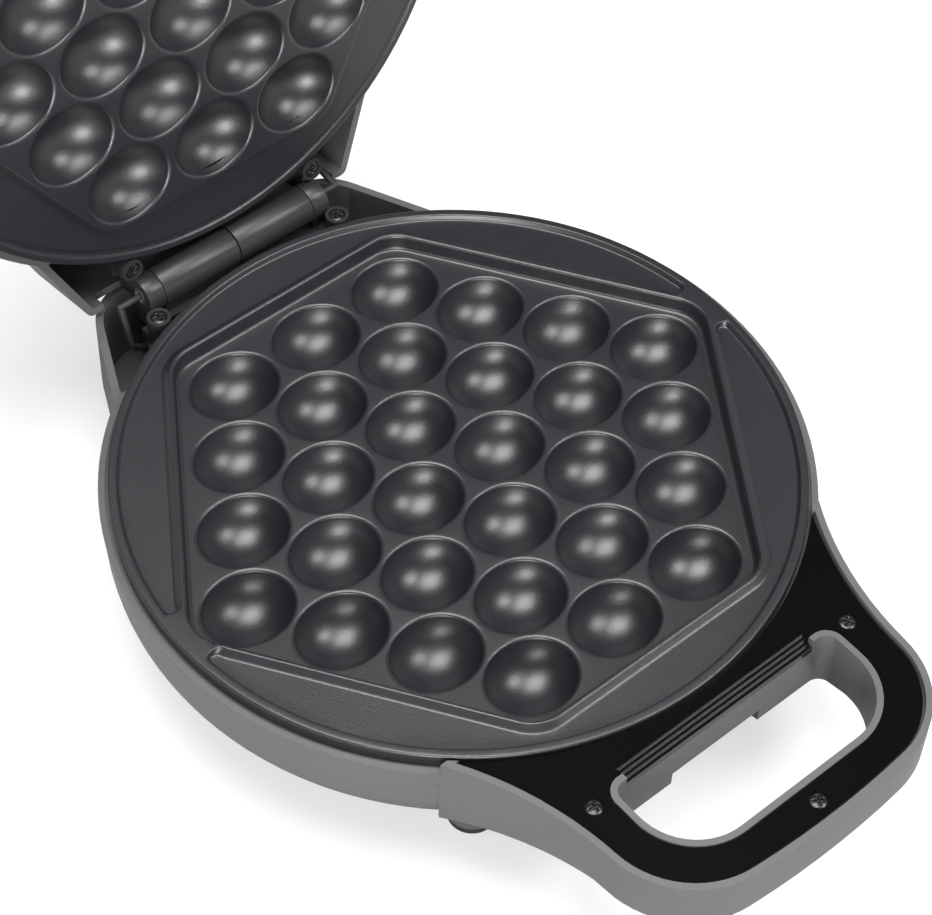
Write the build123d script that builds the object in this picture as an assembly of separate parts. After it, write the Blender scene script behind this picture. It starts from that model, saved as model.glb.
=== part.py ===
from build123d import *
import math
import os

os.makedirs("parts", exist_ok=True)

# A round bubble waffle maker standing open. It is modelled round the centre of its lower plate,
# whose rim top is z = 0. The hinge runs along X behind the plate, the handle points to -Y and
# the unit is the millimetre. The upper half is the lower one turned over, then opened.

# Round plates and their six-sided batter field
plate_radius = 108.0
plate_thickness = 5.0
field_apothem = 88.0
field_corner = 14.0
flat_side_extra = 2.5
side_angle = math.radians(33.8)
recess_apothem = 85.75
recess_corner = 12.0
recess_depth = 5.5
raised_apothem = 84.0
raised_corner = 11.0
raised_height = 3.0
pan_wall = 3.0
panel_radius = 105.0
panel_depth = 1.8
panel_gap = 18.0
panel_tip_radius = 1.8
bead_radius = 105.6
bead_width = 2.6
bead_depth = 0.8
plate_boss_radius = 102.5
plate_boss_size = 6.0
plate_boss_bottom = -8.5

# Cells, in seven rows
row_counts = (3, 4, 5, 6, 5, 4, 3)
cell_pitch = 32.8
row_step = 23.9
cell_half_length = 15.0
cell_half_width = 13.0
cell_depth = 10.5
cup_half_length = 15.6
cup_half_width = 13.5
cup_wall = 1.5
cup_taper = 20.0

# Bowl of each housing
strip_radius = 111.1
strip_drop = 4.24
side_radius = 110.3
round_radius = 30.0
round_start = -16.0
bowl_wall = 2.1
lid_crown = 3.0
shelf_radius = 106.2
shelf_thickness = 2.0
parting_gap = 0.5

# Rear extension that carries the hinge
rear_start = (67.0, 88.0)
rear_lean = 0.469
base_rear = 130.0
lid_rear = 119.2
base_rear_corner = 20.0
lid_rear_corner = 3.0
rear_top = -5.3
rear_bottom = -38.0
rear_wall = 2.5

# Handle tray, its slot and its cover. The underside slopes down from the bend to the bowl.
handle_root = (75.5, -81.0)
handle_flank = ((63.3, -107.5), (58.4, -134.0))
handle_corner = (30.266, -163.118)
handle_front = -164.6
handle_depth = 21.0
handle_bend = -128.0
handle_slope = 0.2
handle_floor = 2.6
handle_edge = 4.0
recess_inset = 2.1
cover_inset = 2.9
cover_thickness = 2.0
cover_top = -1.0
tray_inset = 5.9
slot_half_width = 43.1
slot_back = -117.3
slot_front = -149.0
slot_front_corner = 20.0
slot_back_corner = 4.0
slot_wall = 2.0
slot_rim = -0.5
cover_screw_places = ((50.5, -118.2), (-50.5, -118.2), (0.0, -156.6))

# Catch ledge behind the lower slot, and the window under it that takes the latch's hook
ledge_half_width = 37.2
ledge_back = -111.8
ledge_front = slot_back
ledge_top = -1.2
ledge_seat = -6.0
ledge_steps = 4
ledge_step_drop = 0.8
window_half_width = 17.5
window_back = -113.5
window_top = -18.0

# Hinge
hinge_y = 116.8
hinge_z = parting_gap / 2
open_angle = 100.0
barrel_radius = 6.5
tube_radius = 3.0
tube_bore = 2.1
tube_clearance = 0.06
half_length = 30.0
knuckle_end = 36.5
knuckle_gap = 0.3
saddle_top = -7.2
saddle_bottom = -11.0
saddle_front = 109.0
web_front = 111.5
pad_place = (36.5, 106.3)
pad_radius = 3.9
pad_top = -0.3

# Screws
screw_shank = 1.5
screw_head = 2.8
screw_head_height = 1.6
post_radius = 4.0

# Heating parts behind each plate
element_ring = 55.0
element_radius = 3.25
element_gap = 22.0
terminal_radius = 1.75
terminal_end = -33.0
reflector_wall = 98.5
reflector_flange = 106.0
reflector_floor = -26.2
sheet = 0.8
clip_angles = (30.0, 150.0, 270.0)
clip_size = (12.0, 9.0)
prop_angles = (90.0, 210.0, 330.0)
thermostat_radius = 7.0
thermostat_height = 7.0
fuse_radius = 2.0
fuse_half_length = 5.5
prop_ring = 72.0
prop_radius = 3.0

# Feet: the rear pair stands under the rear extension, so that the open machine doesn't tip
front_foot_place = (55.7, -73.9)
rear_foot_place = (45.0, 110.0)
foot_radius = 7.8
foot_boss_radius = 8.8
foot_seam = -50.0
ground = -55.0
foot_stem_radius = 4.0
foot_stem_top = -46.0

# Latch in the upper handle, drawn as it hooks the closed base
pivot_y = -129.5
pivot_z = 13.0
pin_radius = 1.5
pin_half_length = 23.5
lug_inner = 17.0
lug_outer = 22.0
latch_half_width = 16.0
latch_release = 22.0
arm_back = -119.0
arm_front = -122.0
hook_tip = -114.9
hook_top = -18.4
hook_bottom = -22.4
tab_front = -146.0
tab_half_width = 16.0
tab_bottom = 14.5
tab_top = 17.5
hub_radius = 5.0

# Lamps and mains entry
lamp_place = (11.0, -66.0)
lens_radius = 4.5
lamp_radius = 3.0
bush_z = -24.0
bush_radius = 6.0
bush_bore = 3.2
bush_flange = 8.0
wire_radius = 1.1
block_half = 14.0
block_front = 104.0
block_depth = 10.0
block_height = 9.0


def block(x, y, z):
    """A box given by its two limits along each axis."""
    size = [high - low for low, high in (x, y, z)]
    middle = [(high + low) / 2 for low, high in (x, y, z)]
    return Pos(*middle) * Box(*size)


def rod(radius, low, high, place=(0.0, 0.0)):
    """An upright cylinder between two heights."""
    return Pos(place[0], place[1], low) * Cylinder(radius, high - low, align=(Align.CENTER, Align.CENTER, Align.MIN))


def cross_rod(radius, left, right, y, z):
    """A cylinder along X between two stations."""
    return Pos((left + right) / 2, y, z) * Rot(0, 90, 0) * Cylinder(radius, right - left)


def slab(outline, low, high):
    """A flat outline made solid between two heights."""
    return extrude(Pos(0, 0, low) * outline, amount=high - low, dir=(0, 0, 1))


def corners(place):
    """The four mirror places of one place."""
    x, y = place
    return [(sx * x, sy * y) for sx in (1, -1) for sy in (1, -1)]


def both_sides(place):
    """A place and its mirror image across the part's middle."""
    x, y = place
    return [(x, y), (-x, y)]


def ring_places(radius, angles):
    """Places on a circle about the plate's centre."""
    return [(radius * math.cos(math.radians(a)), radius * math.sin(math.radians(a))) for a in angles]


def hexagon(apothem, corner_radius):
    """The batter field's outline: two sides run along X and lie a little further out."""
    flat = apothem + flat_side_extra
    tip = apothem / math.cos(side_angle)
    corner = (apothem - flat * math.sin(side_angle)) / math.cos(side_angle)
    outline = Polygon(
        (tip, 0), (corner, flat), (-corner, flat), (-tip, 0), (-corner, -flat), (corner, -flat), align=None
    )
    return fillet(outline.vertices(), corner_radius)


def cell_centres():
    """Centres of the thirty cells, each row centred on the plate."""
    centres = []
    for row, count in enumerate(row_counts):
        y = row_step * ((len(row_counts) - 1) / 2 - row)
        centres += [(cell_pitch * (i - (count - 1) / 2), y) for i in range(count)]
    return centres


def cell_bowl():
    """The hollow of one cell below the field's floor, longer along X than along Y."""
    above = 0.5
    side = Line((0, above), (cell_half_width, above)) + Line((cell_half_width, above), (cell_half_width, 0))
    bowl_arc = ThreePointArc(
        (cell_half_width, 0), (0.74 * cell_half_width, -0.63 * cell_depth), (0, -cell_depth)
    )
    profile = make_face(side + bowl_arc + Line((0, -cell_depth), (0, above)))
    return scale(revolve(Plane.XZ * profile, Axis.Z), by=(cell_half_length / cell_half_width, 1, 1))


def cell_cups(top, bottom):
    """The cast cups that stand out behind the plate, one round each cell."""
    narrow = cup_half_width - (top - bottom) * math.tan(math.radians(cup_taper))
    cup = scale(Cone(narrow, cup_half_width, top - bottom), by=(cup_half_length / cup_half_width, 1, 1))
    return [Pos(x, y, (top + bottom) / 2) * cup for x, y in cell_centres()]


def plate_bosses():
    """Four cast bosses behind the rim, which take the plate's screws."""
    places = corners((plate_boss_radius * math.sqrt(0.5),) * 2)
    return [rod(plate_boss_size / 2, plate_boss_bottom, -plate_thickness, place) for place in places]


def lower_plate_shape(screws):
    """Sunk batter field inside a narrow ridge, with two shallow panels wrapped round it."""
    floor = -recess_depth
    pan_bottom = floor - pan_wall
    plate = rod(plate_radius, -plate_thickness, 0) + slab(hexagon(field_apothem, field_corner), pan_bottom, 0)
    plate -= slab(hexagon(recess_apothem, recess_corner), floor, 0)
    panels = Circle(panel_radius) - hexagon(field_apothem, field_corner)
    panels -= Rectangle(2 * plate_radius, panel_gap)
    tips = [v for v in panels.vertices() if abs(v.Y) < panel_gap]
    plate -= slab(fillet(tips, panel_tip_radius), -panel_depth, 0)
    plate += cell_cups(pan_bottom, floor - cell_depth - cup_wall)
    plate += plate_bosses()
    plate -= [Pos(x, y, floor) * cell_bowl() for x, y in cell_centres()]
    return plate - screws


def upper_plate_shape(screws):
    """The same plate with its field raised, so that it dips into the lower one."""
    plate = rod(plate_radius, -plate_thickness, 0)
    plate += slab(hexagon(raised_apothem, raised_corner), -plate_thickness, raised_height)
    back = raised_height - pan_wall
    plate -= slab(hexagon(raised_apothem - pan_wall, raised_corner), -plate_thickness, back)
    plate -= slab(Circle(bead_radius) - Circle(bead_radius - bead_width), -bead_depth, 0)
    plate += cell_cups(back, raised_height - cell_depth - cup_wall)
    plate += plate_bosses()
    plate -= [Pos(x, y, raised_height) * cell_bowl() for x, y in cell_centres()]
    return plate - screws


def bowl(inset, crown, top):
    """Solid of revolution of a housing's bowl, pulled in by its wall where a hollow is wanted."""
    centre = side_radius - round_radius
    small = round_radius - inset
    floor = round_start - small
    brim = strip_radius - inset
    diagonal = small * math.sqrt(0.5)
    side = side_radius - inset
    edge = Line((0, top), (brim, top))
    if top > -strip_drop:
        edge += Line((brim, top), (brim, -strip_drop))
    edge += Line((brim, -strip_drop), (side, round_start))
    edge += ThreePointArc((side, round_start), (centre + diagonal, round_start - diagonal), (centre, floor))
    if crown:
        # The dome is part of a ball centred on the bowl's axis.
        ball = (centre**2 + crown**2) / (2 * crown)
        halfway = floor - crown + ball - math.sqrt(ball**2 - centre**2 / 4)
        edge += ThreePointArc((centre, floor), (centre / 2, halfway), (0, floor - crown))
    else:
        edge += Line((centre, floor), (0, floor))
    edge += Line((0, floor - crown), (0, top))
    return revolve(Plane.XZ * make_face(edge), Axis.Z)


def rear_outline(back, corner_radius):
    """Plan of the rear extension: flanks that close in towards a flat back."""
    x, y = rear_start
    back_x = x - rear_lean * (back - y)
    outline = Polygon((x, y), (back_x, back), (-back_x, back), (-x, y), align=None)
    return fillet([v for v in outline.vertices() if v.Y > y + 1], corner_radius)


def handle_outline():
    """Plan of the handle tray, waisted from the bowl to a rounded front."""
    flank = ThreePointArc(handle_root, *handle_flank)
    corner = TangentArc(flank @ 1, handle_corner, tangent=flank % 1)
    half = flank + corner
    side, front = handle_corner
    nose = ThreePointArc(handle_corner, (0, handle_front), (-side, front))
    root = Line((-handle_root[0], handle_root[1]), handle_root)
    return make_face(half + mirror(half, Plane.YZ) + nose + root)


def slot_outline(grow):
    """Plan of the opening that the latch passes through, grown by its wall where asked."""
    half = slot_half_width + grow
    back, front = slot_back + grow, slot_front - grow
    outline = Polygon((half, back), (half, front), (-half, front), (-half, back), align=None)
    outline = fillet([v for v in outline.vertices() if v.Y == outline.bounding_box().min.Y], slot_front_corner + grow)
    square = [v for v in outline.vertices() if v.Y > back - 0.1]
    return fillet(square, slot_back_corner + grow)


def tray_bottom(y):
    """Level of the handle's underside."""
    return -handle_depth - handle_slope * max(0.0, y - handle_bend)


def tray_solid(outline, lift, top):
    """An outline made solid down to the handle's underside, or to a floor lifted above it."""
    back, front = handle_root[1] + 10, handle_front - 10
    side = Polygon(
        (back, top), (back, tray_bottom(back) + lift), (handle_bend, lift - handle_depth),
        (front, lift - handle_depth), (front, top), align=None
    )
    return slab(outline, tray_bottom(back), top) & extrude(Plane.YZ * side, amount=plate_radius, both=True)


def turned(shape):
    """Lower side to upper side: half a turn about the Y line in the parting plane."""
    return Pos(0, 0, hinge_z) * Rot(0, 180, 0) * Pos(0, 0, -hinge_z) * shape


def lifted(shape):
    """Closed lid to open lid, about the hinge."""
    return Pos(0, hinge_y, hinge_z) * Rot(-open_angle, 0, 0) * Pos(0, -hinge_y, -hinge_z) * shape


def screw(place, seat, length):
    """A pan-head screw pointing down, with its head standing on the seat."""
    return rod(screw_shank, seat - length, seat, place) + rod(screw_head, seat, seat + screw_head_height, place)


def plate_screws():
    """Four screws that hold the reflector's flange against the plate's bosses."""
    seat = plate_boss_bottom - sheet
    length = 6.5
    places = corners((plate_boss_radius * math.sqrt(0.5),) * 2)
    return [rod(screw_shank, seat, seat + length, p) + rod(screw_head, seat - 1.6, seat, p) for p in places]


def pad_screws():
    """Two screws sunk in the bracket's pads."""
    length = 22.0
    seat = pad_top - screw_head_height
    return [screw((side * pad_place[0], pad_place[1]), seat, length) for side in (1, -1)]


def cover_screws():
    """Three screws sunk in the handle's cover."""
    length = 12.0
    seat = cover_top - screw_head_height
    return [screw(place, seat, length) for place in cover_screw_places]


def housing(back, back_corner, crown):
    """Moulded bowl, rear extension and handle tray in one wall."""
    hollow = bowl(bowl_wall, crown, -rear_top)
    shell = bowl(0, crown, -strip_drop)
    rear = slab(rear_outline(back, back_corner), rear_bottom, rear_top)
    shell += fillet(rear.faces().sort_by(Axis.Z)[0].edges(), 4)
    handle = tray_solid(handle_outline(), 0, 0)
    under = [e for face in handle.faces().sort_by(Axis.Z)[:2] for e in face.edges()]
    shell += fillet([e for e in under if e.geom_type != GeomType.LINE], handle_edge)
    trough = offset(rear_outline(back, back_corner), amount=-rear_wall)
    shell -= hollow
    shelf = rod(strip_radius - 1, -plate_thickness - shelf_thickness, -plate_thickness)
    shell += shelf - rod(shelf_radius, -plate_thickness - shelf_thickness, -plate_thickness)
    shell -= slab(trough, rear_bottom + rear_wall, 0)
    # The bowl's wall runs on under the rear extension, so the posts stand on its floor.
    posts = [rod(post_radius, rear_bottom + 1, saddle_bottom, (s * pad_place[0], pad_place[1])) for s in (1, -1)]
    props = [rod(prop_radius, round_start - round_radius + 1, reflector_floor - sheet, p)
             for p in ring_places(prop_ring, prop_angles)]
    shell += posts + props
    # The tray is open under its cover and the slot has a wall of its own.
    outside = bowl(0, crown, 1)
    recess = offset(handle_outline(), amount=-recess_inset)
    tray = offset(handle_outline(), amount=-tray_inset)
    shell -= tray_solid(tray, handle_floor, 0) - outside
    shell -= slab(recess, cover_top - cover_thickness, 0) - hollow
    bosses = [rod(post_radius, tray_bottom(p[1]) + 1, cover_top - cover_thickness, p) for p in cover_screw_places]
    shell += bosses
    shell += tray_solid(slot_outline(slot_wall), 0, slot_rim) - hollow
    shell -= slab(slot_outline(0), tray_bottom(handle_root[1]), 0)
    return shell - pad_screws() - cover_screws()


def lower_housing_shape():
    """Base shell with the latch's window in its slot, the feet's bosses and the mains entry."""
    shell = housing(base_rear, base_rear_corner, 0)
    front_bosses = [rod(foot_boss_radius, foot_seam, round_start - 10, p) for p in both_sides(front_foot_place)]
    shell += [boss - bowl(bowl_wall, 0, 0) for boss in front_bosses]
    shell += [rod(foot_boss_radius, foot_seam, rear_bottom + 1, p) for p in both_sides(rear_foot_place)]
    shell -= [rod(foot_stem_radius, foot_seam, foot_stem_top, p) for p in foot_places()]
    shell -= ledge_space()
    window_x = (-window_half_width, window_half_width)
    shell -= block(window_x, (slot_back - 1, window_back), (tray_bottom(handle_root[1]), window_top))
    return shell - Pos(0, base_rear, bush_z) * Rot(90, 0, 0) * Cylinder(bush_radius, 4 * rear_wall)


def upper_housing_shape():
    """Lid shell with the hinge's notch, the latch's lugs and the lamps' holes."""
    shell = housing(lid_rear, lid_rear_corner, lid_crown)
    notch = 47.0
    shell -= block((-notch, notch), (web_front, lid_rear + 1), (saddle_bottom - 0.3, 0))
    for side in (1, -1):
        lug_x = sorted((side * lug_inner, side * lug_outer))
        lug = block(lug_x, (pivot_y, slot_back + 1), (-pivot_z - 5, -pivot_z + 5))
        shell += lug + cross_rod(hub_radius, *lug_x, pivot_y, -pivot_z)
        shell -= rod(lens_radius, -2 * round_radius, round_start - 20, (side * lamp_place[0], lamp_place[1]))
    return shell - turned(latch_pin_shape())


def handle_cover_shape():
    """Glossy cover let into the tray, with the slot's wall standing through it."""
    plan = offset(handle_outline(), amount=-cover_inset) - Circle(strip_radius - bowl_wall)
    plan -= slot_outline(slot_wall)
    cover = slab(plan, cover_top - cover_thickness, cover_top)
    sinks = [rod(screw_head, cover_top - screw_head_height, cover_top, p) for p in cover_screw_places]
    return cover - sinks - cover_screws()


def ledge_space():
    """Room for the catch ledge in the base's tray and cover."""
    return block((-ledge_half_width, ledge_half_width), (ledge_front, ledge_back), (ledge_seat, 0))


def catch_ledge_shape():
    """Ribbed strip that steps down from the rim to the slot's wall."""
    run = (ledge_back - ledge_front) / ledge_steps
    steps = []
    for i in range(ledge_steps):
        back = ledge_back - i * run
        top = ledge_top - i * ledge_step_drop
        steps.append(block((-ledge_half_width, ledge_half_width), (back - run, back), (ledge_seat, top)))
    return Part() + steps


def hinge_bracket_shape():
    """Saddle with a long half barrel, an end knuckle and two screw pads."""
    bore = tube_radius + tube_clearance
    saddle = block((-knuckle_end, knuckle_end), (saddle_front, lid_rear), (saddle_bottom, saddle_top))
    bracket = saddle
    for left, right in ((-half_length, -knuckle_gap), (half_length + knuckle_gap, knuckle_end)):
        bracket += block((left, right), (web_front, lid_rear), (saddle_bottom, hinge_z - 3))
        bracket += cross_rod(barrel_radius, left, right, hinge_y, hinge_z)
    for side in (1, -1):
        x, y = side * pad_place[0], pad_place[1]
        bracket += block(sorted((x - 3.9, x + 3.9)), (y, saddle_front + 2), (saddle_bottom, saddle_top))
        bracket += rod(pad_radius, saddle_bottom, pad_top, (x, y))
        bracket -= rod(screw_head, pad_top - screw_head_height, pad_top, (x, y))
    bracket -= cross_rod(bore, -half_length, knuckle_end + 1, hinge_y, hinge_z)
    return bracket - pad_screws()


def hinge_tube_shape():
    """Hollow hinge pin that the lid's wires run through."""
    tube = cross_rod(tube_radius, -knuckle_end, knuckle_end, hinge_y, hinge_z)
    return tube - cross_rod(tube_bore, -knuckle_end, knuckle_end, hinge_y, hinge_z)


def element_shape(cup_bottom):
    """Tubular heater bent to a ring, with two terminals that point away from the plate."""
    z = cup_bottom - element_radius
    start = 90 + element_gap / 2
    path = CenterArc((0, 0, z), element_ring, start, 360 - element_gap)
    section = Plane(path @ 0, z_dir=path % 0) * Circle(element_radius)
    heater = sweep(section, path)
    ends = ring_places(element_ring, (start + 3, 87 - element_gap / 2))
    return heater + [rod(terminal_radius, terminal_end, z, p) for p in ends]


def clips_shape(heater, cup_bottom):
    """Three spring cradles that press the heater against the cups."""
    clips = []
    for place, angle in zip(ring_places(element_ring, clip_angles), clip_angles):
        height = cup_bottom - element_radius - reflector_floor
        cradle = Pos(place[0], place[1], reflector_floor + height / 2) * Rot(0, 0, angle) * Box(*clip_size, height)
        clips.append(cradle - heater)
    return clips


def reflector_shape():
    """Pressed dish behind the heater, with a flange under the plate's bosses."""
    floor, low = reflector_floor, reflector_floor - sheet
    wall, flange = reflector_wall, plate_boss_bottom
    points = ((0, low), (wall - 1, low), (wall + sheet, low + 1.8), (wall + sheet, flange - sheet),
              (reflector_flange, flange - sheet), (reflector_flange, flange), (wall, flange),
              (wall, floor + 1.3), (wall - 1.3, floor), (0, floor))
    dish = revolve(Plane.XZ * Polygon(*points, align=None), Axis.Z)
    gap = element_gap / 2
    holes = ring_places(element_ring, (90 + gap + 3, 87 - gap))
    return dish - [rod(2 * terminal_radius, low, floor, p) for p in holes] - plate_screws()


def thermostat_shape():
    """Round switch held against the centre cup."""
    return rod(thermostat_radius, cup_bottom_lower - thermostat_height, cup_bottom_lower)


def thermal_fuse_shape():
    """Small over-temperature fuse lying along X against one cup beside the centre."""
    z = cup_bottom_lower - fuse_radius
    return cross_rod(fuse_radius, cell_pitch / 2 - fuse_half_length, cell_pitch / 2 + fuse_half_length, row_step, z)


def wire(points):
    """One round wire of straight runs with mitred bends."""
    path = Polyline(*points)
    section = Plane(path @ 0, z_dir=path % 0) * Circle(wire_radius)
    return sweep(section, path, transition=Transition.RIGHT)


def wires_shape():
    """Lead from the connector to the hinge tube's end, and one to each heater terminal."""
    side = -block_half
    leads = [wire(((side, 109, -31), (side - 4, 109, -31), (-32, 112, -26), (-44, 112, -14),
                   (-44, hinge_y, hinge_z), (-26, hinge_y, hinge_z)))]
    for x, y in ring_places(element_ring, (93 + element_gap / 2, 87 - element_gap / 2)):
        leads.append(wire(((x / 2, block_front, -31), (x / 2, block_front - 4, -31), (x, 84, -36), (x, y, -36),
                           (x, y, terminal_end))))
    return leads


def connector_shape():
    """Screw connector on the floor of the rear extension."""
    floor = rear_bottom + rear_wall
    back = block_front + block_depth
    body = block((-block_half, block_half), (block_front, back), (floor, floor + block_height))
    wells = [rod(2.0, floor + 4, floor + block_height, (x, (block_front + back) / 2)) for x in (-8, 0, 8)]
    return body - wells


def cord_bush_shape():
    """Rubber bush in the rear wall, where a lead would come out."""
    along = Pos(0, base_rear, bush_z) * Rot(-90, 0, 0)
    sleeve = along * Pos(0, 0, -rear_wall - 2) * Cylinder(
        bush_radius, rear_wall + 5, align=(Align.CENTER, Align.CENTER, Align.MIN))
    flange = along * Cylinder(bush_flange, 1.8, align=(Align.CENTER, Align.CENTER, Align.MIN))
    return sleeve + flange - along * Cylinder(bush_bore, 30)


def foot_places():
    """The four places of the feet, front pair first."""
    return both_sides(front_foot_place) + both_sides(rear_foot_place)


def feet_shape():
    """Four rubber feet with stems pressed into their bosses."""
    feet = []
    for place in foot_places():
        pad = rod(foot_radius, ground, foot_seam, place)
        pad = chamfer(pad.edges().sort_by(Axis.Z)[:1], 1.0)
        feet.append(pad + rod(foot_stem_radius, foot_seam, foot_stem_top, place))
    return feet


def latch_pin_shape():
    """Steel pin through the two lugs and the latch's hub."""
    return cross_rod(pin_radius, -pin_half_length, pin_half_length, pivot_y, pivot_z)


def latch_shape():
    """Clip with a hub, a finger tab and an arm that ends in a hook."""
    x = (-latch_half_width, latch_half_width)
    clip = cross_rod(hub_radius, *x, pivot_y, pivot_z)
    clip += block(x, (pivot_y, arm_back), (pivot_z - 4, pivot_z + 4.5))
    clip += block(x, (arm_front, arm_back), (hook_bottom, pivot_z))
    hook = block(x, (arm_back, hook_tip), (hook_bottom, hook_top))
    nose = [e for e in hook.edges().filter_by(Axis.X)
            if abs(e.center().Y - hook_tip) < 0.1 and e.center().Z < hook_top - 1]
    clip += chamfer(nose, 2.5)
    tab = block((-tab_half_width, tab_half_width), (tab_front, pivot_y - 1.5), (tab_bottom, tab_top))
    clip += fillet(tab.edges().filter_by(Axis.Z), 4) - block((-30, 30), (pivot_y - 1, pivot_y + 9), (0, 30))
    clip += block(x, (pivot_y - 8, pivot_y), (pivot_z + 1.5, tab_top))
    clip -= cross_rod(pin_radius + tube_clearance, *x, pivot_y, pivot_z)
    release = Pos(0, pivot_y, pivot_z) * Rot(-latch_release, 0, 0) * Pos(0, -pivot_y, -pivot_z)
    return release * clip


def lens(side):
    """Domed window of one lamp, set in the lid's top."""
    x, y = side * lamp_place[0], lamp_place[1]
    crown = round_start - round_radius - lid_crown
    seat, back = crown + 4.7, crown + 5.5
    body = rod(lens_radius, crown + 0.2, back, (x, y)) + rod(lens_radius + 1.2, seat, back, (x, y))
    return body - rod(lens_radius - 1.2, crown + 1.5, back, (x, y))


def lamps_shape():
    """Two small lamps whose bulbs stand inside the windows."""
    crown = round_start - round_radius - lid_crown
    return [rod(lamp_radius, crown + 1.5, crown + 14, (side * lamp_place[0], lamp_place[1])) for side in (1, -1)]


cup_bottom_lower = -recess_depth - cell_depth - cup_wall
cup_bottom_upper = raised_height - cell_depth - cup_wall
lower_heater = element_shape(cup_bottom_lower)
upper_heater = element_shape(cup_bottom_upper)

base = {
    "lower_housing": lower_housing_shape(),
    "lower_handle_cover": handle_cover_shape() - ledge_space(),
    "lower_cover_screws": cover_screws(),
    "catch_ledge": catch_ledge_shape(),
    "lower_plate": lower_plate_shape(plate_screws()),
    "lower_plate_screws": plate_screws(),
    "lower_element": lower_heater,
    "lower_element_clips": clips_shape(lower_heater, cup_bottom_lower),
    "lower_reflector": reflector_shape(),
    "lower_hinge_bracket": hinge_bracket_shape(),
    "lower_hinge_screws": pad_screws(),
    "hinge_tube": hinge_tube_shape(),
    "thermostat": thermostat_shape(),
    "thermal_fuse": thermal_fuse_shape(),
    "base_connector": connector_shape(),
    "base_wires": wires_shape(),
    "cord_bush": cord_bush_shape(),
    "feet": feet_shape(),
}
upper_side = {
    "upper_housing": upper_housing_shape(),
    "upper_handle_cover": handle_cover_shape(),
    "upper_cover_screws": cover_screws(),
    "upper_plate": upper_plate_shape(plate_screws()),
    "upper_plate_screws": plate_screws(),
    "upper_element": upper_heater,
    "upper_element_clips": clips_shape(upper_heater, cup_bottom_upper),
    "upper_reflector": reflector_shape(),
    "upper_hinge_bracket": hinge_bracket_shape(),
    "upper_hinge_screws": pad_screws(),
    "power_lens": lens(1),
    "ready_lens": lens(-1),
    "lamps": lamps_shape(),
    "lid_connector": connector_shape(),
    "lid_wires": wires_shape(),
}


def place_group(shape, place):
    """Every solid of a piece, or of several alike pieces, put in its final place."""
    shapes = shape if isinstance(shape, list) else [shape]
    return Compound([place(solid) for each in shapes for solid in each.solids()])


pieces = {name: place_group(shape, lambda solid: solid) for name, shape in base.items()}
pieces.update({name: place_group(shape, lambda solid: lifted(turned(solid))) for name, shape in upper_side.items()})
pieces["latch"] = place_group(latch_shape(), lifted)
pieces["latch_pin"] = place_group(latch_pin_shape(), lifted)

# The part's origin is under the middle of its bounding box, at the level that the feet stand on.
front = pieces["lower_housing"].bounding_box().min.Y
rear = pieces["upper_housing"].bounding_box().max.Y
to_origin = Pos(0, -(front + rear) / 2, -ground)
for name, shape in pieces.items():
    export_step(place_group(shape, lambda solid: to_origin * solid), f"parts/{name}.step")
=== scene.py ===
import math

import bmesh
import bpy
from mathutils import Matrix, Vector


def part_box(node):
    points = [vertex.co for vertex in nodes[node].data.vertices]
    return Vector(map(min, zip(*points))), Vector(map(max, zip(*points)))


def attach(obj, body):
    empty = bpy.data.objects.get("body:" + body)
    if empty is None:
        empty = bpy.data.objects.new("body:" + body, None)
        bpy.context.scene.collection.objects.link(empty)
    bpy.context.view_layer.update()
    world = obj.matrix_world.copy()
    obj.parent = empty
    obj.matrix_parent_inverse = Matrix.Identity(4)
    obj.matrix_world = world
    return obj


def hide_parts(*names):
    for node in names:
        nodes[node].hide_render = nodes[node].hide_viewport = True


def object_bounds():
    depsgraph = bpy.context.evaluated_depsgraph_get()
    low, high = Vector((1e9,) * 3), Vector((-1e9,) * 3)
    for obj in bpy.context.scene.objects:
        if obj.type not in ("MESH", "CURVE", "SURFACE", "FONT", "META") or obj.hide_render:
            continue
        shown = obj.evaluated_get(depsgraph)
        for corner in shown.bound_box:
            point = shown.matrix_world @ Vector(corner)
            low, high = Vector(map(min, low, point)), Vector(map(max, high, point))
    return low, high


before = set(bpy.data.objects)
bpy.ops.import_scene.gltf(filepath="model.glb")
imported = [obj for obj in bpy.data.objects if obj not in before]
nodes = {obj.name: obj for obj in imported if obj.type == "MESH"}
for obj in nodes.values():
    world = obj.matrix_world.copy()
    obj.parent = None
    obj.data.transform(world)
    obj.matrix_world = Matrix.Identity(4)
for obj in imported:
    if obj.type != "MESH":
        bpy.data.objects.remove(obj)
cad_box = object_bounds()


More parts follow.
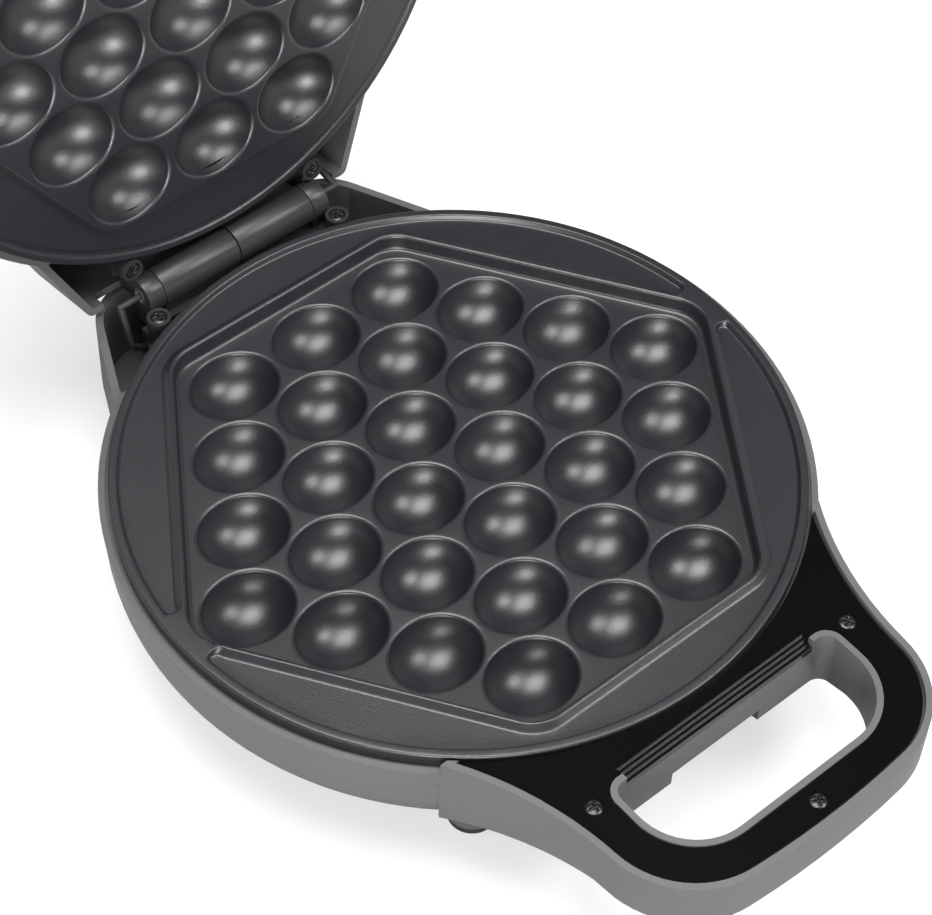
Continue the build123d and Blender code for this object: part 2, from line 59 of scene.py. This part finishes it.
# Housings: the bowl of the base and the shell of the lid, each moulded in grey plastic in one piece
# with its rear extension and handle tray. The mould leaves a small radius on every edge.
def surface(name, colour, roughness, grain=900.0, bump=0.05, drift=0.06, metallic=0.0, gleam=0.5, coat=0.0):
    """A finish whose colour and roughness drift a little and whose fine bump is the mould's grain."""
    patch_scale = 28.0
    grain_depth = 0.0003
    roughness_drift = 0.1
    material = bpy.data.materials.new(name)
    material.use_nodes = True
    tree = material.node_tree
    shader = tree.nodes["Principled BSDF"]
    place = tree.nodes.new("ShaderNodeTexCoord")
    patches = tree.nodes.new("ShaderNodeTexNoise")
    patches.inputs["Scale"].default_value = patch_scale
    patches.inputs["Detail"].default_value = 3.0
    shade = tree.nodes.new("ShaderNodeMapRange")
    shade.inputs["To Min"].default_value = 1.0 - drift
    shade.inputs["To Max"].default_value = 1.0 + drift
    tint = tree.nodes.new("ShaderNodeMix")
    tint.data_type = "RGBA"
    tint.blend_type = "MULTIPLY"
    tint.inputs["Factor"].default_value = 1.0
    tint.inputs["A"].default_value = (*colour, 1.0)
    fine = tree.nodes.new("ShaderNodeTexNoise")
    fine.inputs["Scale"].default_value = grain
    fine.inputs["Detail"].default_value = 2.0
    relief = tree.nodes.new("ShaderNodeBump")
    relief.inputs["Strength"].default_value = bump
    relief.inputs["Distance"].default_value = grain_depth
    rough = tree.nodes.new("ShaderNodeMapRange")
    rough.inputs["To Min"].default_value = roughness * (1 - roughness_drift)
    rough.inputs["To Max"].default_value = roughness * (1 + roughness_drift)
    link = tree.links.new
    link(place.outputs["Object"], patches.inputs["Vector"])
    link(place.outputs["Object"], fine.inputs["Vector"])
    link(patches.outputs["Fac"], shade.inputs["Value"])
    link(shade.outputs["Result"], tint.inputs["B"])
    link(tint.outputs["Result"], shader.inputs["Base Color"])
    link(patches.outputs["Fac"], rough.inputs["Value"])
    link(rough.outputs["Result"], shader.inputs["Roughness"])
    link(fine.outputs["Fac"], relief.inputs["Height"])
    link(relief.outputs["Normal"], shader.inputs["Normal"])
    shader.inputs["Metallic"].default_value = metallic
    shader.inputs["Specular IOR Level"].default_value = gleam
    shader.inputs["Coat Weight"].default_value = coat
    shader.inputs["Coat Roughness"].default_value = 0.05
    return material


def finish_nodes(material, *names):
    """Gives CAD nodes their material."""
    for name in names:
        slots = nodes[name].data.materials
        slots.clear()
        slots.append(material)


def round_edges(radius, *names):
    """Moulded edges, rounded by a radius in millimetres."""
    for name in names:
        join = nodes[name].modifiers.new("weld", "WELD")
        join.merge_threshold = 0.000002
        edge = nodes[name].modifiers.new("edge", "BEVEL")
        edge.width = radius / 1000
        edge.segments = 3
        edge.limit_method = "ANGLE"
        edge.angle_limit = math.radians(35)
        edge.harden_normals = True


housing_radius = 0.7
housing_grey = surface("housing_grey", (0.09, 0.09, 0.09), 0.4, grain=1400, bump=0.12)
finish_nodes(housing_grey, "lower_housing", "upper_housing")
round_edges(housing_radius, "lower_housing", "upper_housing")


# Handle covers: glossy black plates let into the handle trays, with the ribbed ledge that runs along
# the back of the lower slot. Both are polished mouldings.
ledge_radius = 0.15
gloss_black = surface("gloss_black", (0.002, 0.002, 0.002), 0.14, bump=0.0, drift=0.02)
finish_nodes(gloss_black, "lower_handle_cover", "upper_handle_cover", "catch_ledge")
round_edges(ledge_radius, "catch_ledge")


# Hinge and latch: two equal satin black brackets that interleave on a plain steel tube, and the
# swing clip of the upper handle, which turns on a steel pin.
bracket_radius, tube_radius, latch_radius = 0.4, 0.15, 0.5
satin_black = surface("satin_black", (0.018, 0.018, 0.02), 0.38, grain=1400, bump=0.1)
bright_steel = surface("bright_steel", (0.55, 0.55, 0.55), 0.28, bump=0.06, metallic=1.0)
finish_nodes(satin_black, "lower_hinge_bracket", "upper_hinge_bracket", "latch")
finish_nodes(bright_steel, "hinge_tube", "latch_pin")
round_edges(bracket_radius, "lower_hinge_bracket", "upper_hinge_bracket")
round_edges(tube_radius, "hinge_tube")
round_edges(latch_radius, "latch")


# Heating plates: die-cast aluminium with a dark non-stick coating. Thirty oval cells lie in a
# six-sided batter field, and every edge is rounded by the casting and the coating.
coating = surface("coating", (0.011, 0.011, 0.014), 0.36, grain=1600, bump=0.16, gleam=0.75)
finish_nodes(coating, "lower_plate", "upper_plate")

# The castings are drawn in millimetres round the centre of the lower plate's rim top. The upper one
# is the lower one's place turned over, half the gap up, and swung back about the hinge.
half_gap = 0.25
hinge_axis = Vector((0, 116.8, half_gap))
open_angle = math.radians(-100)
plate_low, plate_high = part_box("lower_plate")
rim_centre = Vector(((plate_low.x + plate_high.x) / 2, (plate_low.y + plate_high.y) / 2, plate_high.z))
to_frame = Matrix.Translation(rim_centre) @ Matrix.Scale(0.001, 4)
gap_middle = Matrix.Translation((0, 0, half_gap))
turn_over = gap_middle @ Matrix.Rotation(math.pi, 4, "Y") @ gap_middle.inverted()
at_hinge = Matrix.Translation(hinge_axis)
swing_open = at_hinge @ Matrix.Rotation(open_angle, 4, "X") @ at_hinge.inverted()
lid_to_frame = to_frame @ swing_open @ turn_over

cell_pitch, row_pitch = 32.8, 23.9
cells_in_rows = (3, 4, 5, 6, 5, 4, 3)
side_angle = math.radians(33.8)
flat_is_further = 2.5
cell_places = []
for row, count in enumerate(cells_in_rows):
    cell_places += [(cell_pitch * (i - (count - 1) / 2), row_pitch * (3 - row)) for i in range(count)]


def arc_points(centre, radius, start, end, steps):
    """Points along an arc, both ends included."""
    turns = [start + (end - start) * k / steps for k in range(steps + 1)]
    return [(centre[0] + radius * math.cos(a), centre[1] + radius * math.sin(a)) for a in turns]


def at_height(points, height):
    return [(x, y, height) for x, y in points]


def oval(place, half_length, half_width, height, count=48):
    x, y = place
    turns = [2 * math.pi * i / count for i in range(count)]
    return [(x + half_length * math.cos(a), y + half_width * math.sin(a), height) for a in turns]


def disc(radius, height):
    return oval((0, 0), radius, radius, height, count=160)


def six_sided(reach, corner_radius, height):
    """Six rounded corners with straight sides, two of them along X and a little further out."""
    straight = reach + flat_is_further
    tip = reach / math.cos(side_angle)
    corner = (reach - straight * math.sin(side_angle)) / math.cos(side_angle)
    right_half = [(tip, 0), (corner, straight), (-corner, straight)]
    corners = right_half + [(-x, -y) for x, y in right_half]
    facings = [-side_angle, side_angle, math.pi / 2]
    facings += [facing + math.pi for facing in facings]
    points = []
    for i, (x, y) in enumerate(corners):
        before = facings[i]
        after = facings[(i + 1) % 6]
        if after < before:
            after += 2 * math.pi
        middle, half = (before + after) / 2, (after - before) / 2
        back = corner_radius / math.cos(half)
        centre = (x - back * math.cos(middle), y - back * math.sin(middle))
        points += arc_points(centre, corner_radius, before, after, 10)
    return at_height(points, height)


def crescent(side, outer, reach, corner_radius, end, height):
    """The outline of a panel that wraps round half of the field and has two rounded ends."""
    end_rise, end_tip = 2.4, 0.8
    inner_lean, outer_lean = 0.3, 0.6
    straight = reach + flat_is_further
    corner = (reach - straight * math.sin(side_angle)) / math.cos(side_angle)
    start = end + end_rise
    tip = end - end_tip
    low = math.asin(start / outer)
    outside = arc_points((0, 0), outer, low, math.pi - low, 60)
    half = (math.pi / 2 - side_angle) / 2
    middle = (math.pi / 2 + side_angle) / 2
    back = corner_radius / math.cos(half)
    centre = (corner - back * math.cos(middle), straight - back * math.sin(middle))
    slant_start = ((reach - start * math.sin(side_angle)) / math.cos(side_angle), start)
    inside = [slant_start] + arc_points(centre, corner_radius, side_angle, math.pi / 2, 12)
    inside += [(-x, y) for x, y in reversed(inside)]
    near, far = slant_start[0], outside[0][0]
    right_end = []
    for k in range(1, 10):
        t = k / 10
        u = 1 - t
        leaning = 3 * u * u * t * (near + inner_lean) + 3 * u * t * t * (far + outer_lean)
        x = u**3 * near + leaning + t**3 * far
        y = (u**3 + t**3) * start + 3 * u * t * tip
        right_end.append((x, y))
    left_end = [(-x, y) for x, y in reversed(right_end)]
    outline = outside + left_end + list(reversed(inside)) + right_end
    if side < 0:
        outline = [(x, -y) for x, y in reversed(outline)]
    return at_height(outline, height)


def edge_ring(mesh, points):
    """A closed ring of edges through the points."""
    corners = [mesh.verts.new(point) for point in points]
    return [mesh.edges.new((a, b)) for a, b in zip(corners, corners[1:] + corners[:1])]


def flat(mesh, *rings):
    """A flat between rings that lie at one height."""
    edges = [edge for ring in rings for edge in ring]
    bmesh.ops.triangle_fill(mesh, use_beauty=True, edges=edges)


def walls(mesh, outlines):
    """Bands that join a run of outlines. The first and last rings of edges are returned."""
    rings = [edge_ring(mesh, points) for points in outlines]
    heights = [points[0][2] for points in outlines]
    for k in range(1, len(rings)):
        if heights[k] == heights[k - 1]:
            flat(mesh, rings[k - 1], rings[k])
        else:
            bmesh.ops.bridge_loops(mesh, edges=rings[k - 1] + rings[k])
    return rings[0], rings[-1]


def close_ring(mesh, ring, centre=None):
    """One face over a ring, or a fan round a centre point."""
    face = bmesh.ops.contextual_create(mesh, geom=ring)["faces"]
    if centre:
        middle = bmesh.ops.poke(mesh, faces=face)["verts"][0]
        middle.co = centre


def cell(mesh, place, floor):
    """One cell: a rounded lip, a steep side and a round bottom. Its mouth is returned."""
    longer_than_wide = 15 / 13
    mouth, lip, depth = 13.85, 1.1, 10.5
    ball, ball_x, ball_z = 12.75, 0.448, 2.243
    side_foot_x, side_foot_z = 12.2, -1.5
    lip_turns = (90, 112, 134, 152, 166)
    profile = []
    for degrees in lip_turns:
        a = math.radians(degrees)
        profile.append((mouth + lip * math.cos(a), -lip + lip * math.sin(a)))
    side_start = math.atan2(side_foot_z - ball_z, side_foot_x)
    profile += arc_points((ball_x, ball_z), ball, side_start, -math.pi / 2, 9)[:9]
    outlines = [oval(place, r * longer_than_wide, r, floor + z) for r, z in profile]
    top, bottom = walls(mesh, outlines)
    close_ring(mesh, bottom, (place[0], place[1], floor - depth))
    return top


def cup(mesh, place, top, bottom):
    """The back of one cell: a tapered cup with a flat end. Its mouth is returned."""
    half_length, half_width, draft = 15.6, 13.5, math.radians(20)
    narrow = half_width - (top - bottom) * math.tan(draft)
    mouth_outline = oval(place, half_length, half_width, top, 32)
    end_outline = oval(place, narrow * half_length / half_width, narrow, bottom, 32)
    mouth, end = walls(mesh, (mouth_outline, end_outline))
    close_ring(mesh, end)
    return mouth


def new_piece(name, mesh, matrix, material, normal_weight):
    """The mesh, put in its place, as a closed and smooth object with its material."""
    bmesh.ops.recalc_face_normals(mesh, faces=mesh.faces)
    bmesh.ops.transform(mesh, matrix=matrix, verts=mesh.verts)
    data = bpy.data.meshes.new(name)
    mesh.to_mesh(data)
    mesh.free()
    for face in data.polygons:
        face.use_smooth = True
    data.materials.append(material)
    piece = bpy.data.objects.new(name, data)
    bpy.context.scene.collection.objects.link(piece)
    shade = piece.modifiers.new("shade", "WEIGHTED_NORMAL")
    shade.weight = normal_weight
    return piece


rim_profile = ((107.3, 0.0), (107.7, -0.1), (107.95, -0.4), (108.0, -0.8), (108.0, -4.6), (107.6, -5.0))
rim_under, rim_bottom = 107.6, -5.0
merge_distance = 0.0005
plate_normal_weight = 80

# Lower plate: the field is sunk inside a narrow ridge, and two shallow panels wrap round it. Behind,
# a stepped pan carries the backs of the cells.
field_corner = 73.8
field_floor_height = -5.5
field_profile = ((86.9, 0.0), (86.5, -0.1), (86.2, -0.4), (86.0, -0.9),
                 (85.5, -4.4), (85.3, -5.0), (84.8, -5.4), (84.3, field_floor_height))
panel_corner = 73.5
panel_profile = ((105.6, 87.3, 8.7, 0.0), (105.3, 87.55, 8.85, -0.1), (105.05, 87.9, 9.0, -0.4),
                 (104.7, 89.1, 9.3, -1.3), (104.4, 89.6, 9.6, -1.65), (104.0, 90.1, 9.9, -1.75))
pan_reach, pan_corner, pan_bottom, cup_bottom = 88, 14, -8.5, -17.5
lower = bmesh.new()
field_outlines = [six_sided(reach, reach - field_corner, z) for reach, z in field_profile]
field_top, field_floor = walls(lower, field_outlines)
flat(lower, field_floor, *[cell(lower, place, field_floor_height) for place in cell_places])
panel_tops = []
for side in (1, -1):
    outlines = []
    for outer, reach, end, z in panel_profile:
        outlines.append(crescent(side, outer, reach, reach - panel_corner, end, z))
    panel_top, panel_floor = walls(lower, outlines)
    panel_tops.append(panel_top)
    flat(lower, panel_floor)
rim_top, rim_foot = walls(lower, [disc(radius, z) for radius, z in rim_profile])
flat(lower, rim_top, field_top, *panel_tops)
pan_outlines = [six_sided(pan_reach, pan_corner, z) for z in (rim_bottom, pan_bottom)]
pan_top, pan_foot = walls(lower, pan_outlines)
flat(lower, edge_ring(lower, disc(rim_under, rim_bottom)), pan_top)
flat(lower, pan_foot, *[cup(lower, place, pan_bottom, cup_bottom) for place in cell_places])
bmesh.ops.remove_doubles(lower, verts=lower.verts, dist=merge_distance)
lower_plate_cast = new_piece("lower_plate_cast", lower, to_frame, coating, plate_normal_weight)
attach(lower_plate_cast, "base")
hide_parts("lower_plate")

# Upper plate: the same casting with its field raised, so that it dips into the lower one, and with
# a bead round its rim. Its back is a shallow recess.
raised_corner = 72.5
raised_height = 3.0
raised_profile = ((84.9, 0.0), (84.7, 0.1), (84.6, 0.4), (84.5, 0.9),
                  (84.3, 2.2), (84.1, 2.6), (83.8, 2.9), (83.4, raised_height))
bead_profile = ((102.7, 0.0), (102.95, -0.1), (103.15, -0.4), (103.4, -0.75),
                (105.2, -0.75), (105.45, -0.4), (105.65, -0.1), (105.9, 0.0))
back_reach, back_corner, back_bottom, back_cup_bottom = 81, 11, 0.0, -9.0
upper = bmesh.new()
raised_outlines = [six_sided(reach, reach - raised_corner, z) for reach, z in raised_profile]
raised_foot, raised_top = walls(upper, raised_outlines)
flat(upper, raised_top, *[cell(upper, place, raised_height) for place in cell_places])
bead_inside, bead_outside = walls(upper, [disc(radius, z) for radius, z in bead_profile])
flat(upper, bead_inside, raised_foot)
rim_top, rim_foot = walls(upper, [disc(radius, z) for radius, z in rim_profile])
flat(upper, rim_top, bead_outside)
back_outlines = [six_sided(back_reach, back_corner, z) for z in (rim_bottom, back_bottom)]
back_outside, back_inside = walls(upper, back_outlines)
flat(upper, edge_ring(upper, disc(rim_under, rim_bottom)), back_outside)
flat(upper, back_inside, *[cup(upper, place, back_bottom, back_cup_bottom) for place in cell_places])
bmesh.ops.remove_doubles(upper, verts=upper.verts, dist=merge_distance)
upper_plate_cast = new_piece("upper_plate_cast", upper, lid_to_frame, coating, plate_normal_weight)
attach(upper_plate_cast, "lid")
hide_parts("upper_plate")


# Cross-head screws: blackened steel pan heads that sink into the handle covers and into the hinge
# brackets' pads. Each head is domed and stamped with a cross recess.
black_steel = surface("black_steel", (0.008, 0.008, 0.009), 0.28, bump=0.05)
for group in ("lower_cover", "lower_hinge", "upper_cover", "upper_hinge"):
    finish_nodes(black_steel, f"{group}_screws")
screw_head, screw_shank, head_height, dome_height = 2.8, 1.5, 1.6, 0.55
recess_depth, arm_length, arm_half_width = 1.0, 1.75, 0.5
arm_end_slope, arm_side_slope = 0.25, 0.2
head_rings, screw_sides = 15, 64
first_turn, turn_between = 0.5, 1.1
screw_normal_weight = 60


def head_ring(place, radius, top, twist):
    """One ring of a head's domed top, sunk where the arms of its cross are."""
    ring = []
    for i in range(screw_sides):
        a = 2 * math.pi * i / screw_sides
        along, across = abs(math.cos(a - twist)) * radius, abs(math.sin(a - twist)) * radius
        within_length = (arm_length - max(along, across)) / arm_end_slope
        within_width = (arm_half_width - min(along, across)) / arm_side_slope
        sunk = min(max(within_length, 0.0), 1.0) * min(max(within_width, 0.0), 1.0)
        height = top - dome_height * (radius / screw_head)**3 - recess_depth * sunk
        ring.append((place[0] + radius * math.cos(a), place[1] + radius * math.sin(a), height))
    return ring


def cross_head_screws(places, top, length):
    """The screws of one group, with the tops of their heads at one height, as one mesh."""
    mesh = bmesh.new()
    for number, place in enumerate(places):
        twist = first_turn + turn_between * number
        under_head = top - head_height
        outlines = []
        for step in range(1, head_rings + 1):
            outlines.append(head_ring(place, screw_head * step / head_rings, top, twist))
        underside = ((screw_head, under_head), (screw_shank, under_head), (screw_shank, under_head - length))
        outlines += [oval(place, radius, radius, height, screw_sides) for radius, height in underside]
        innermost, end = walls(mesh, outlines)
        close_ring(mesh, innermost, (place[0], place[1], top - recess_depth))
        close_ring(mesh, end)
    return mesh


cover_places = ((50.5, -118.2), (-50.5, -118.2), (0.0, -156.6))
cover_top, cover_screw_length = -1.0, 12.0
pad_places = ((36.5, 106.3), (-36.5, 106.3))
pad_top, pad_screw_length = -0.3, 22.0
for prefix, matrix, body in (("lower", to_frame, "base"), ("upper", lid_to_frame, "lid")):
    for group, places, top, length in (("cover", cover_places, cover_top, cover_screw_length),
                                       ("hinge", pad_places, pad_top, pad_screw_length)):
        name = f"{prefix}_{group}_screw_heads"
        mesh = cross_head_screws(places, top, length)
        screws = new_piece(name, mesh, matrix, black_steel, screw_normal_weight)
        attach(screws, body)
        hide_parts(f"{prefix}_{group}_screws")


# Heating parts: a tubular steel element clipped to the back of each plate, a bright aluminium
# reflector screwed over it, and the thermostat and fuse of the base in steel cans.
heater_steel = surface("heater_steel", (0.22, 0.2, 0.18), 0.45, bump=0.08, metallic=0.9)
sheet_aluminium = surface("sheet_aluminium", (0.72, 0.72, 0.73), 0.3, bump=0.05, metallic=1.0)
for half in ("lower", "upper"):
    finish_nodes(heater_steel, f"{half}_element")
    finish_nodes(sheet_aluminium, f"{half}_reflector")
    finish_nodes(bright_steel, f"{half}_element_clips", f"{half}_plate_screws")
finish_nodes(bright_steel, "thermostat", "thermal_fuse")


# Wiring: heat-proof sleeved wires between two pale connector blocks. They run through the hinge
# tube, and the mains lead would come in through the rubber bush.
sleeve = surface("sleeve", (0.02, 0.02, 0.02), 0.6, bump=0.1)
connector_radius, bush_radius = 0.3, 0.3
connector_white = surface("connector_white", (0.7, 0.69, 0.66), 0.5, bump=0.08)
rubber = surface("rubber", (0.015, 0.015, 0.016), 0.7, grain=1800, bump=0.2)
finish_nodes(sleeve, "base_wires", "lid_wires")
finish_nodes(connector_white, "base_connector", "lid_connector")
finish_nodes(rubber, "cord_bush")
round_edges(connector_radius, "base_connector", "lid_connector")
round_edges(bush_radius, "cord_bush")


# Feet: four moulded rubber feet that push into bosses under the base.
foot_radius = 0.3
finish_nodes(rubber, "feet")
round_edges(foot_radius, "feet")


# Lamps: a red and a green window of clear plastic in the lid's top, with a neon lamp under each.
red_window = surface("red_window", (0.5, 0.01, 0.01), 0.12, bump=0.0, coat=0.5)
green_window = surface("green_window", (0.01, 0.32, 0.05), 0.12, bump=0.0, coat=0.5)
bulb = surface("bulb", (0.75, 0.62, 0.5), 0.1, bump=0.0)
finish_nodes(red_window, "power_lens")
finish_nodes(green_window, "ready_lens")
finish_nodes(bulb, "lamps")


# The floor: one plain pale sheet that the machine stands on, wide enough to have no edge in view.
# It is nearly burnt out in the view, as in a studio, and throws back only part of the light.
floor_size = 12
floor_gap = 0.0002
share_burnt_out = 0.55
light_thrown_back = (0.45, 0.45, 0.45, 1)
bpy.ops.mesh.primitive_plane_add(size=floor_size, location=(0, 0, cad_box[0][2] - floor_gap))
floor = bpy.context.object
floor.name = "floor"
floor_white = surface("floor_white", (0.93, 0.93, 0.93), 0.9, bump=0.0, drift=0.0)
floor.data.materials.append(floor_white)
tree = floor_white.node_tree
burnt_out = tree.nodes.new("ShaderNodeEmission")
burnt_out.inputs["Strength"].default_value = 1.0
in_view = tree.nodes.new("ShaderNodeMixShader")
in_view.inputs["Fac"].default_value = share_burnt_out
thrown_back = tree.nodes.new("ShaderNodeBsdfDiffuse")
thrown_back.inputs["Color"].default_value = light_thrown_back
path = tree.nodes.new("ShaderNodeLightPath")
by_ray = tree.nodes.new("ShaderNodeMixShader")
tree.links.new(tree.nodes["Principled BSDF"].outputs["BSDF"], in_view.inputs[1])
tree.links.new(burnt_out.outputs["Emission"], in_view.inputs[2])
tree.links.new(path.outputs["Is Camera Ray"], by_ray.inputs["Fac"])
tree.links.new(thrown_back.outputs["BSDF"], by_ray.inputs[1])
tree.links.new(in_view.outputs["Shader"], by_ray.inputs[2])
tree.links.new(by_ray.outputs["Shader"], tree.nodes["Material Output"].inputs["Surface"])


# Studio lights: a soft key from the right, a broad one overhead, and a card at the front left that
# the lid's cells mirror.
def soft_light(name, place, aim, size, power):
    data = bpy.data.lights.new(name, "AREA")
    data.shape = "SQUARE"
    data.size = size
    data.energy = power
    light = bpy.data.objects.new(name, data)
    bpy.context.scene.collection.objects.link(light)
    light.location = place
    light.rotation_euler = (Vector(aim) - Vector(place)).to_track_quat("-Z", "Y").to_euler()


soft_light("key", (0.64, -0.7, 1.2), (0, 0, 0.08), 0.5, 11)
soft_light("overhead", (-0.08, 0.03, 1.5), (0, -0.05, 0.0), 0.9, 27)
soft_light("front_card", (-0.64, -0.77, 0.28), (0, 0.12, 0.2), 0.45, 9)


# The room: white in the view and even for soft light. Glossy surfaces mirror a dark ceiling, a
# bright band near the horizon and a glow towards the front left. Heights and directions are those
# of a ray as it comes in, so they are negative above the horizon.
room_light = 0.55
ceiling_glow, horizon_glow = 0.04, 1.0
ceiling_height, horizon_height = -0.45, -0.1
card_direction = (0.58, 0.81, -0.04)
card_glow = 2.0
card_edge, card_middle = 0.78, 0.97
white = (1, 1, 1, 1)
room = bpy.data.worlds.new("room")
bpy.context.scene.world = room
room.use_nodes = True
tree = room.node_tree
even = tree.nodes["Background"]
even.inputs["Color"].default_value = white
even.inputs["Strength"].default_value = room_light
backdrop = tree.nodes.new("ShaderNodeBackground")
backdrop.inputs["Color"].default_value = white
backdrop.inputs["Strength"].default_value = 1.0
mirrored = tree.nodes.new("ShaderNodeBackground")
mirrored.inputs["Color"].default_value = white
direction = tree.nodes.new("ShaderNodeNewGeometry")
height = tree.nodes.new("ShaderNodeSeparateXYZ")
band = tree.nodes.new("ShaderNodeMapRange")
band.interpolation_type = "SMOOTHSTEP"
band.inputs["From Min"].default_value = ceiling_height
band.inputs["From Max"].default_value = horizon_height
band.inputs["To Min"].default_value = ceiling_glow
band.inputs["To Max"].default_value = horizon_glow
card_side = tree.nodes.new("ShaderNodeVectorMath")
card_side.operation = "DOT_PRODUCT"
card_side.inputs[1].default_value = card_direction
card = tree.nodes.new("ShaderNodeMapRange")
card.interpolation_type = "SMOOTHSTEP"
card.inputs["From Min"].default_value = card_edge
card.inputs["From Max"].default_value = card_middle
card.inputs["To Min"].default_value = 0.0
card.inputs["To Max"].default_value = card_glow
both = tree.nodes.new("ShaderNodeMath")
path = tree.nodes.new("ShaderNodeLightPath")
in_gloss = tree.nodes.new("ShaderNodeMixShader")
in_view = tree.nodes.new("ShaderNodeMixShader")
tree.links.new(direction.outputs["Incoming"], height.inputs["Vector"])
tree.links.new(height.outputs["Z"], band.inputs["Value"])
tree.links.new(direction.outputs["Incoming"], card_side.inputs[0])
tree.links.new(card_side.outputs["Value"], card.inputs["Value"])
tree.links.new(band.outputs["Result"], both.inputs[0])
tree.links.new(card.outputs["Result"], both.inputs[1])
tree.links.new(both.outputs["Value"], mirrored.inputs["Strength"])
tree.links.new(path.outputs["Is Glossy Ray"], in_gloss.inputs["Fac"])
tree.links.new(even.outputs["Background"], in_gloss.inputs[1])
tree.links.new(mirrored.outputs["Background"], in_gloss.inputs[2])
tree.links.new(path.outputs["Is Camera Ray"], in_view.inputs["Fac"])
tree.links.new(in_gloss.outputs["Shader"], in_view.inputs[1])
tree.links.new(backdrop.outputs["Background"], in_view.inputs[2])
tree.links.new(in_view.outputs["Shader"], tree.nodes["World Output"].inputs["Surface"])


# The camera stands where the photograph was taken from, which was solved from the rim, the cells
# and the hinge. Distance and target are in millimetres from the centre of the lower plate's rim.
azimuth, elevation, roll = math.radians(-42.263), math.radians(50.933), math.radians(2.564)
distance = 833.17
target = Vector((2.41, -0.23, 0.0))
lens_length, sensor_width = 104.37, 36.0
level = math.cos(elevation)
toward = Vector((math.sin(azimuth) * level, -math.cos(azimuth) * level, math.sin(elevation)))
right = (-toward).cross(Vector((0, 0, 1))).normalized()
up = right.cross(-toward)
camera_right = right * math.cos(roll) + up * math.sin(roll)
camera_up = -right * math.sin(roll) + up * math.cos(roll)
camera = bpy.data.objects.new("camera", bpy.data.cameras.new("camera"))
bpy.context.scene.collection.objects.link(camera)
camera.data.sensor_width = sensor_width
camera.data.lens = lens_length
facing = Matrix((camera_right, camera_up, toward)).transposed().to_4x4()
camera.matrix_world = Matrix.Translation(to_frame @ (target + toward * distance)) @ facing
bpy.context.scene.camera = camera
bpy.context.scene.view_settings.view_transform = "Standard"
